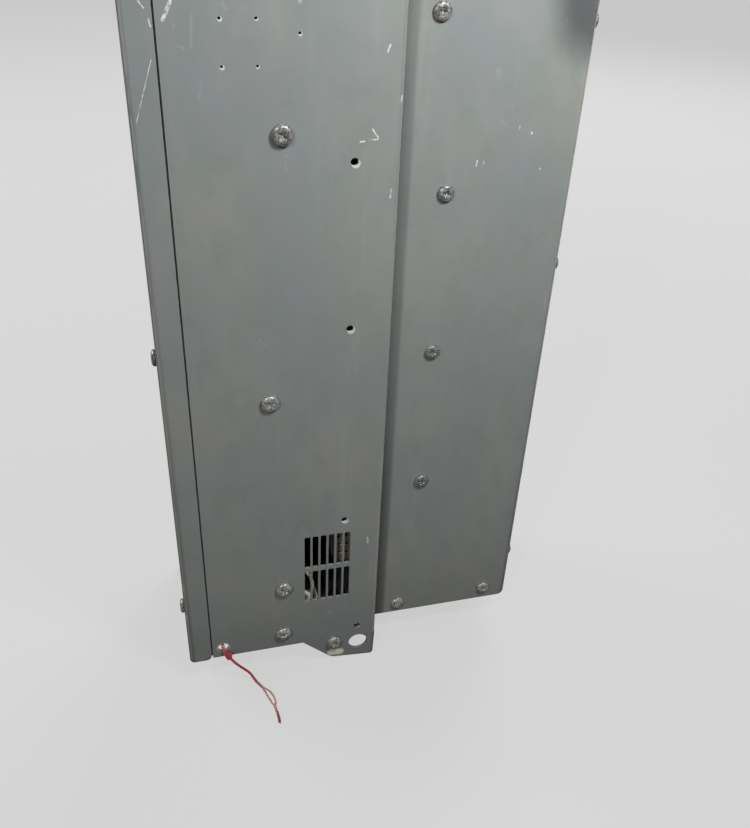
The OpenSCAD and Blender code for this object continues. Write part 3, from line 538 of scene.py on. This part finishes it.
def cotton():
    """Twisted red cotton, faded pink in the hole and brownish where the plies have come apart."""
    finish = Finish("red_string", specular=0.2, sheen=0.15)
    depth = finish.fade(finish.drawing(1), 3, -39)
    colour = finish.ramp(depth, [
        (0.0, rgb(222, 182, 180)), (0.03, rgb(200, 96, 108)), (0.06, rgb(186, 44, 72)), (0.13, rgb(172, 62, 82)),
        (0.3, rgb(186, 122, 118)), (0.55, rgb(196, 152, 138)), (0.85, rgb(194, 144, 132)), (0.97, rgb(148, 62, 68)),
    ])
    fibres = finish.noise(0.35, 4, 0.7, (1.6, 1, 1))
    colour = finish.mix(colour, rgb(228, 176, 170), finish.fade(fibres, 0.55, 0.8, 0, 0.4))
    colour = finish.mix(colour, rgb(120, 24, 40), finish.fade(fibres, 0.46, 0.22, 0, 0.4))
    finish.bump(fibres, 0.12)
    return finish.finish(colour, finish.fade(fibres, 0.2, 0.8, 0.75, 0.95))


MATERIALS = {
    "case_paint": case_paint(),
    "front_paint": front_paint(),
    "dark_steel": dark_steel(),
    "zinc_steel": zinc_steel(),
    "tinned_bar": tinned_bar(),
    "black_plastic": moulded("black_plastic", rgb(34, 35, 37), rgb(46, 47, 49), 0.42),
    "breaker_plastic": moulded("breaker_plastic", rgb(30, 30, 32), rgb(42, 42, 44), 0.5, 0.35),
    "white_plastic": moulded("white_plastic", rgb(228, 226, 214), rgb(238, 237, 229), 0.4),
    "brown_plastic": moulded("brown_plastic", rgb(96, 86, 74), rgb(118, 108, 95), 0.55),
    "wire_pvc": moulded("wire_pvc", rgb(222, 218, 200), rgb(236, 232, 216), 0.35),
    "black_rubber": rubber(),
    "red_string": cotton(),
}


# ---------------------------------------------------------------- meshes

def body_of(node):
    return next(body for body, members in BODIES.items() if node in members)


def add_piece(name, mesh, node):
    """Puts a detailed mesh in the place of a CAD node, on the same body and with the same finish."""
    for polygon in mesh.polygons:
        polygon.use_smooth = True
    mesh.materials.append(MATERIALS[SLOT_OF[node]])
    piece = bpy.data.objects.new(name, mesh)
    bpy.context.scene.collection.objects.link(piece)
    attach(piece, body_of(node))
    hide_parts(node)
    return piece


def mesh_from(bm, name):
    mesh = bpy.data.meshes.new(name)
    bmesh.ops.recalc_face_normals(bm, faces=bm.faces)
    bm.to_mesh(mesh)
    bm.free()
    return mesh


def solid_boxes(node):
    """Lowest and highest corner of each separate solid of a CAD node, in metres, from the lowest up."""
    bm = bmesh.new()
    bm.from_mesh(NODES[node].data)
    bmesh.ops.remove_doubles(bm, verts=bm.verts, dist=0.01 * MM)
    boxes = []
    left = set(bm.verts)
    while left:
        queue = [left.pop()]
        group = list(queue)
        while queue:
            for edge in queue.pop().link_edges:
                for vert in edge.verts:
                    if vert in left:
                        left.remove(vert)
                        queue.append(vert)
                        group.append(vert)
        low = Vector([min(vert.co[i] for vert in group) for i in range(3)])
        high = Vector([max(vert.co[i] for vert in group) for i in range(3)])
        boxes.append((low, high))
    bm.free()
    return sorted(boxes, key=lambda box: (round(box[0].z, 4), box[0].x))


def ring_strip(bm, lower, upper):
    """Faces between two closed rings of the same number of vertices."""
    count = len(lower)
    for i in range(count):
        j = (i + 1) % count
        bm.faces.new((lower[i], lower[j], upper[j], upper[i]))


def recess_depth(u, v, head_r, head_h):
    """Depth of the worn cross recess at a place on the head, in millimetres."""
    half = 0.1 * head_r
    reach = 0.45 * head_r
    deepest = 0.5 * head_h
    soft = 0.045 * head_r
    depth = 0.0
    for along, across in ((abs(u), abs(v)), (abs(v), abs(u))):
        wall = max(0.0, min(1.0, (half + soft - across) / (2 * soft)))
        floor = deepest * max(0.0, 1 - 0.55 * along / reach)
        end = max(0.0, min(1.0, (reach - along) / (0.12 * head_r)))
        depth = max(depth, floor * wall * end)
    return depth


def crown_height(r, head_r, head_h):
    """Height of the domed head at a radius: almost flat in the middle and round towards the rim."""
    middle_r = head_r / 2
    sag = 0.03
    rim = 0.35
    if r <= middle_r:
        return head_h * (1 - sag * (r / middle_r) ** 2)
    drop = min(1.0, (r - middle_r) / middle_r)
    return head_h * (rim + (1 - sag - rim) * math.sqrt(max(0.0, 1 - drop * drop)))


def add_screw(bm, matrix, head_r, head_h, shank_r, shank_l, turn, rings=24, sides=72):
    """Pan-head screw with a cross recess; its underside is at z = 0 of the matrix, in millimetres."""
    def vert(r, angle, z):
        return bm.verts.new(matrix @ Vector((r * math.cos(angle), r * math.sin(angle), z)))

    angles = [2 * math.pi * k / sides for k in range(sides)]
    centre = vert(0, 0, crown_height(0, head_r, head_h) - recess_depth(0, 0, head_r, head_h))
    previous = None
    for ring in range(1, rings + 1):
        r = head_r * math.sin(0.5 * math.pi * ring / rings) ** 0.85
        row = []
        for angle in angles:
            u = r * math.cos(angle - turn)
            v = r * math.sin(angle - turn)
            row.append(vert(r, angle, crown_height(r, head_r, head_h) - recess_depth(u, v, head_r, head_h)))
        if previous:
            ring_strip(bm, previous, row)
        else:
            for i in range(sides):
                bm.faces.new((centre, row[i], row[(i + 1) % sides]))
        previous = row
    profile = [(head_r, 0.18 * head_h), (head_r - 0.25, 0), (shank_r, 0)]
    pitch = 0.8
    thread_depth = 0.25
    thread_start = 0.3
    steps = int(shank_l / pitch * 2)
    profile += [(shank_r - thread_depth * (k % 2), -pitch / 2 * k - thread_start) for k in range(steps)]
    point_r = shank_r - 0.6
    profile.append((point_r, -shank_l))
    for r, z in profile:
        row = [vert(r, angle, z) for angle in angles]
        ring_strip(bm, previous, row)
        previous = row
    bm.faces.new(previous)


def screw_matrix(box, direction, head_h):
    """Matrix that stands a screw on its wall: direction is the way its head looks."""
    axis = Vector(direction)
    middle = (box[0] + box[1]) / 2
    tip = Vector([box[1][i] if direction[i] > 0 else box[0][i] if direction[i] < 0 else middle[i]
                  for i in range(3)])
    turn = axis.to_track_quat("Z", "Y").to_matrix().to_4x4()
    return Matrix.Translation(tip - axis * head_h * MM) @ turn @ Matrix.Scale(MM, 4)


def detailed_screws(node, sizes, direction, seed, rings=24, sides=72):
    """Replaces a CAD node's screws with threaded ones that have worn cross recesses.

    Without a direction, each head looks away from the middle along x.
    """
    head_h, shank_r = sizes
    random.seed(seed)
    bm = bmesh.new()
    for box in solid_boxes(node):
        way = direction if direction else (math.copysign(1, box[0].x), 0, 0)
        axis = [abs(c) for c in way].index(1)
        spans = [(box[1][i] - box[0][i]) / MM for i in range(3)]
        length = spans[axis]
        across = max(spans[i] for i in range(3) if i != axis)
        turn = random.uniform(0, math.pi / 2)
        add_screw(bm, screw_matrix(box, way, head_h), across / 2, head_h, shank_r, length - head_h, turn,
                  rings, sides)
    add_piece(node + "_detail", mesh_from(bm, node), node)


def add_nut(bm, middle, across, low_y, high_y, bore_r, sides=96):
    """Chamfered hexagon nut whose axis is along y, between two places in millimetres."""
    edge = 0.5
    face_r = across / 2 - 0.2
    # each ring's radius, or None where it follows the hexagon
    rings = [(bore_r, low_y), (face_r, low_y), (None, low_y + edge),
             (None, high_y - edge), (face_r, high_y), (bore_r, high_y)]
    rows = []
    for radius, y in rings:
        row = []
        for k in range(sides):
            angle = 2 * math.pi * k / sides
            from_flat = (angle + math.pi / 6) % (math.pi / 3) - math.pi / 6
            r = across / 2 / math.cos(from_flat) if radius is None else radius
            row.append(bm.verts.new(Vector((middle.x / MM + r * math.cos(angle), y,
                                            middle.z / MM + r * math.sin(angle))) * MM))
        rows.append(row)
    for lower, upper in zip(rows, rows[1:] + rows[:1]):
        ring_strip(bm, lower, upper)


def detailed_earth_screw(node, sizes):
    """The bonding screw of the tab with the nut behind it."""
    head_h, shank_r = sizes
    nut_across = 8
    turn = 0.7
    bm = bmesh.new()
    for box in solid_boxes(node):
        length = (box[1].y - box[0].y) / MM
        middle = (box[0] + box[1]) / 2
        if length < 2 * head_h:
            add_nut(bm, middle, nut_across, box[0].y / MM, box[1].y / MM, shank_r)
        else:
            head_r = (box[1].x - box[0].x) / MM / 2
            matrix = screw_matrix(box, REAR, head_h)
            add_screw(bm, matrix, head_r, head_h, shank_r - 0.02, length - head_h, turn)
    add_piece(node + "_detail", mesh_from(bm, node), node)


# Head height and shank radius in millimetres
LARGE_SCREW = (2.6, 2.4)
SMALL_SCREW = (2.2, 2.0)
FLAT_SCREW = (1.0, 2.0)
detailed_screws("rear_screws_large", LARGE_SCREW, REAR, 3)
detailed_screws("rear_screws_small", SMALL_SCREW, REAR, 5)
detailed_earth_screw("earth_screw", LARGE_SCREW)
detailed_screws("side_screws", SMALL_SCREW, None, 8)
detailed_screws("frame_screws", FLAT_SCREW, FRONT, 9, 16, 48)
detailed_screws("dead_front_screws", SMALL_SCREW, FRONT, 11, 18, 56)


# ---------------------------------------------------------------- string

# Millimetres: the whole string, one ply, the ply's way from the middle, and the lay's length
STRING_R = 0.75
PLY_R = 0.46
PLY_OFFSET = 0.38
LAY_LENGTH = 3.4
STRING_ROUTE = [
    (-80.9, 7, 3), (-80.8, 5.2, 5.6), (-80.7, 3, 7.1), (-80.5, 0.6, 7.5), (-80, -1.6, 6.9),
    (-79.2, -2.8, 5.2), (-78.2, -3.1, 3), (-77, -3, 0.2), (-75.5, -2.6, -2.9), (-73.7, -2.7, -5.7),
    (-71.4, -3, -8.4), (-68.9, -3.5, -11), (-66.5, -4.2, -13.7), (-64.9, -5.6, -16), (-63.2, -8, -17.7),
    (-61.3, -10.8, -18.2), (-59.7, -13.6, -18.2), (-58.3, -17.3, -18.2), (-57, -21.6, -18.2),
    (-55.8, -26, -18.2), (-55, -29.7, -18.2), (-54.6, -33.2, -18.2), (-54.4, -36.4, -18.2),
    (-54.5, -39.2, -18.2),
]
RETURN_ROUTE = [
    (-77.9, -2.6, 1.6), (-78.1, -1.8, -0.6), (-78.8, 0.2, -2.2), (-79.6, 2.6, -2.4), (-80.3, 5, -0.8),
    (-80.7, 6.6, 1), (-80.9, 7, 3),
]
KNOT_AT = (-78, -3.1, 2.6)
KNOT_R = 0.86
# Drawing y where the plies start and stop lying apart on the floor, and how far each goes aside
LOOP_FROM = -13
LOOP_TO = -27
LOOP_ASIDE = (2.3, -0.7)


def smooth_route(points, steps):
    """Points along a Catmull-Rom curve through the route's own points."""
    found = []
    last = len(points) - 1
    for i in range(last):
        p0, p1, p2, p3 = (Vector(points[max(0, min(last, i + k))]) for k in (-1, 0, 1, 2))
        for step in range(steps):
            t = step / steps
            found.append(0.5 * (2 * p1 + (p2 - p0) * t + (2 * p0 - 5 * p1 + 4 * p2 - p3) * t * t
                                + (3 * p1 - p0 - 3 * p2 + p3) * t ** 3))
    return found + [Vector(points[last])]


def frames_along(points):
    """Each point with the tangent, side and up there, carried along without twist."""
    frames = []
    side = None
    for i, point in enumerate(points):
        ahead = points[min(i + 1, len(points) - 1)] - points[max(i - 1, 0)]
        tangent = ahead.normalized()
        if side is None:
            side = tangent.orthogonal().normalized()
        side = (side - tangent * side.dot(tangent)).normalized()
        frames.append((point, tangent, side, tangent.cross(side)))
    return frames


def sweep(bm, frames, radius, sides, lobes, lobe_depth, lobe_twist, close=False):
    """Tube along the frames; radius takes the share of the way, and lobes twist round it like fibres."""
    rows = []
    for i, (point, _, side, up) in enumerate(frames):
        share = i / (len(frames) - 1)
        row = []
        for k in range(sides):
            angle = 2 * math.pi * k / sides
            r = radius(share) * (1 + lobe_depth * math.cos(lobes * angle + lobe_twist * i))
            row.append(bm.verts.new(point + r * (math.cos(angle) * side + math.sin(angle) * up)))
        rows.append(row)
    for lower, upper in zip(rows, rows[1:]):
        ring_strip(bm, lower, upper)
    if close:
        ring_strip(bm, rows[-1], rows[0])
    else:
        bm.faces.new(rows[0])
        bm.faces.new(rows[-1])


def add_ply(bm, centreline, phase, apart):
    """One ply of the string, wound round the centreline at a distance that apart gives."""
    frames = frames_along(centreline)
    travelled = 0.0
    points = []
    for i, (point, _, side, up) in enumerate(frames):
        if i:
            travelled += (point - frames[i - 1][0]).length
        angle = phase + travelled / LAY_LENGTH * 2 * math.pi
        loose = apart(point)
        round_line = PLY_OFFSET * (math.cos(angle) * side + math.sin(angle) * up)
        points.append(point + round_line * (1 - min(1, abs(loose))) + Vector((loose, 0, 0.12 * abs(loose))))

    def frayed_end(share):
        return PLY_R * (1.12 if share > 0.95 else 1) * (1 if share < 0.985 else 0.7)

    sweep(bm, frames_along(points), frayed_end, 12, 4, 0.12, 0.55)


def to_frame(bm):
    """Moves a mesh that was drawn in millimetres to its place in the frame."""
    bmesh.ops.transform(bm, matrix=Matrix.Translation(at(0, 0, 0)) @ Matrix.Scale(MM, 4), verts=bm.verts)


def string_mesh():
    """Two plies twisted together, which come apart on the floor and meet again before the tip."""
    centreline = smooth_route(STRING_ROUTE, 8)
    bm = bmesh.new()

    def loop_share(point):
        along = (point.y - LOOP_FROM) / (LOOP_TO - LOOP_FROM)
        return (4 * along * (1 - along)) ** 0.65 if 0 < along < 1 else 0.0

    for phase, aside in zip((0, math.pi), LOOP_ASIDE):
        add_ply(bm, centreline, phase, lambda point: aside * loop_share(point))
    to_frame(bm)
    return mesh_from(bm, "tag_string")


def knot_mesh():
    """Overhand knot drawn tight, and the strand that goes back under the sheet's edge."""
    bm = bmesh.new()
    turns = 96
    coil = []
    for k in range(turns):
        t = 2 * math.pi * k / turns
        coil.append(Vector(KNOT_AT) + Vector((
            0.42 * (math.sin(t) + 2 * math.sin(2 * t)),
            0.34 * -math.sin(3 * t) * 2.2,
            0.5 * (math.cos(t) - 2 * math.cos(2 * t)))))
    sweep(bm, frames_along(coil), lambda share: KNOT_R, 14, 5, 0.1, 0.35, close=True)
    back = frames_along(smooth_route(RETURN_ROUTE, 8))
    sweep(bm, back, lambda share: STRING_R - 0.1, 14, 5, 0.1, 0.5)
    to_frame(bm)
    return mesh_from(bm, "string_knot")


string = add_piece("tag_string_plies", string_mesh(), "tag_string")
knot = add_piece("string_knot_drawn", knot_mesh(), "string_knot")


# ---------------------------------------------------------------- CAD nodes that stay

# Edge radius in millimetres of the nodes whose names hold a word
EDGE_RADIUS = {
    "door": 0.7, "latch_knob": 0.5, "latch_housing": 0.4, "breaker": 0.4, "handle": 0.5, "terminal_block": 0.4,
    "surge_module": 0.6, "gland": 0.35, "neutral_insulators": 0.4, "bus_base": 0.3,
}
SHEET_EDGE = 0.2


def edge_radius(node):
    found = [radius for key, radius in EDGE_RADIUS.items() if key in node]
    return found[0] if found else SHEET_EDGE


def dress(node):
    """Gives a CAD node its finish and breaks its sharp edges without touching its mesh."""
    piece = NODES[node]
    piece.material_slots[0].link = "OBJECT"
    piece.material_slots[0].material = MATERIALS[SLOT_OF[node]]
    weld = piece.modifiers.new("weld", "WELD")
    weld.merge_threshold = 0.002 * MM
    if node == "bonding_wire":
        rounded = piece.modifiers.new("round", "SUBSURF")
        rounded.levels = 2
        rounded.render_levels = 2
        return
    planar = piece.modifiers.new("planar", "DECIMATE")
    planar.decimate_type = "DISSOLVE"
    planar.angle_limit = math.radians(0.5)
    bevel = piece.modifiers.new("edges", "BEVEL")
    bevel.width = edge_radius(node) * MM
    bevel.segments = 2
    bevel.limit_method = "ANGLE"
    bevel.angle_limit = math.radians(35)
    bevel.use_clamp_overlap = True


for name in NODES:
    if not NODES[name].hide_render:
        dress(name)


# ---------------------------------------------------------------- floor and light

FLOOR_HALF = 20.0
FLOOR_SHADE = 0.08
# Strength of the floor's and the backdrop's own glow, to the camera and to everything else
FLOOR_GLOW = (0.57, 0.02)
BACKDROP_GLOW = (0.6, 0.035)
# Name, place, target, width, power and colour
LIGHTS = [
    ("ceiling", (0.12, -0.3, 0.57), (0.03, -0.06, 0.2), 0.12, 1.86, (1, 0.985, 0.98)),
    ("key", (-0.92, -1.3, 1.25), (0, -0.06, 0.25), 0.16, 11.4, (1, 0.975, 0.93)),
    ("front_fill", (0.9, 1.3, 1.2), (0, 0, 0.25), 1.2, 36, (1, 1, 1)),
    ("side_fill", (-1.3, 1, 1.1), (0, 0, 0.25), 1, 26, (1, 1, 1)),
]


def area_light(name, place, target, size, power, colour):
    data = bpy.data.lights.new(name, "AREA")
    data.shape = "DISK"
    data.size = size
    data.energy = power
    data.color = colour
    light = bpy.data.objects.new(name, data)
    bpy.context.scene.collection.objects.link(light)
    light.location = place
    light.rotation_mode = "QUATERNION"
    light.rotation_quaternion = (Vector(target) - Vector(place)).to_track_quat("-Z", "Y")


def seen_only(tree, seen, unseen):
    """Strength that is one value to the camera and another to everything else."""
    rays = tree.nodes.new("ShaderNodeLightPath")
    choice = tree.nodes.new("ShaderNodeMapRange")
    choice.inputs["To Min"].default_value = unseen
    choice.inputs["To Max"].default_value = seen
    tree.links.new(rays.outputs["Is Camera Ray"], choice.inputs["Value"])
    return choice.outputs["Result"]


def pale_floor():
    """Floor that is pale to the camera but hardly lights the cabinet's foot."""
    half = FLOOR_HALF
    mesh = bpy.data.meshes.new("floor")
    mesh.from_pydata([(-half, -half, 0), (half, -half, 0), (half, half, 0), (-half, half, 0)], [], [(0, 1, 2, 3)])
    floor = bpy.data.objects.new("floor", mesh)
    bpy.context.scene.collection.objects.link(floor)
    material = bpy.data.materials.new("floor")
    material.use_nodes = True
    tree = material.node_tree
    surface = tree.nodes["Principled BSDF"]
    surface.inputs["Base Color"].default_value = (FLOOR_SHADE, FLOOR_SHADE, FLOOR_SHADE, 1)
    surface.inputs["Roughness"].default_value = 0.95
    surface.inputs["Specular IOR Level"].default_value = 0.1
    surface.inputs["Emission Color"].default_value = (1, 1, 1, 1)
    tree.links.new(seen_only(tree, *FLOOR_GLOW), surface.inputs["Emission Strength"])
    mesh.materials.append(material)


def studio():
    scene = bpy.context.scene
    scene.view_settings.view_transform = "Standard"
    world = bpy.data.worlds.new("studio")
    world.use_nodes = True
    background = world.node_tree.nodes["Background"]
    background.inputs["Color"].default_value = (0.95, 0.98, 1, 1)
    world.node_tree.links.new(seen_only(world.node_tree, *BACKDROP_GLOW), background.inputs["Strength"])
    scene.world = world
    pale_floor()
    for light in LIGHTS:
        area_light(*light)


studio()
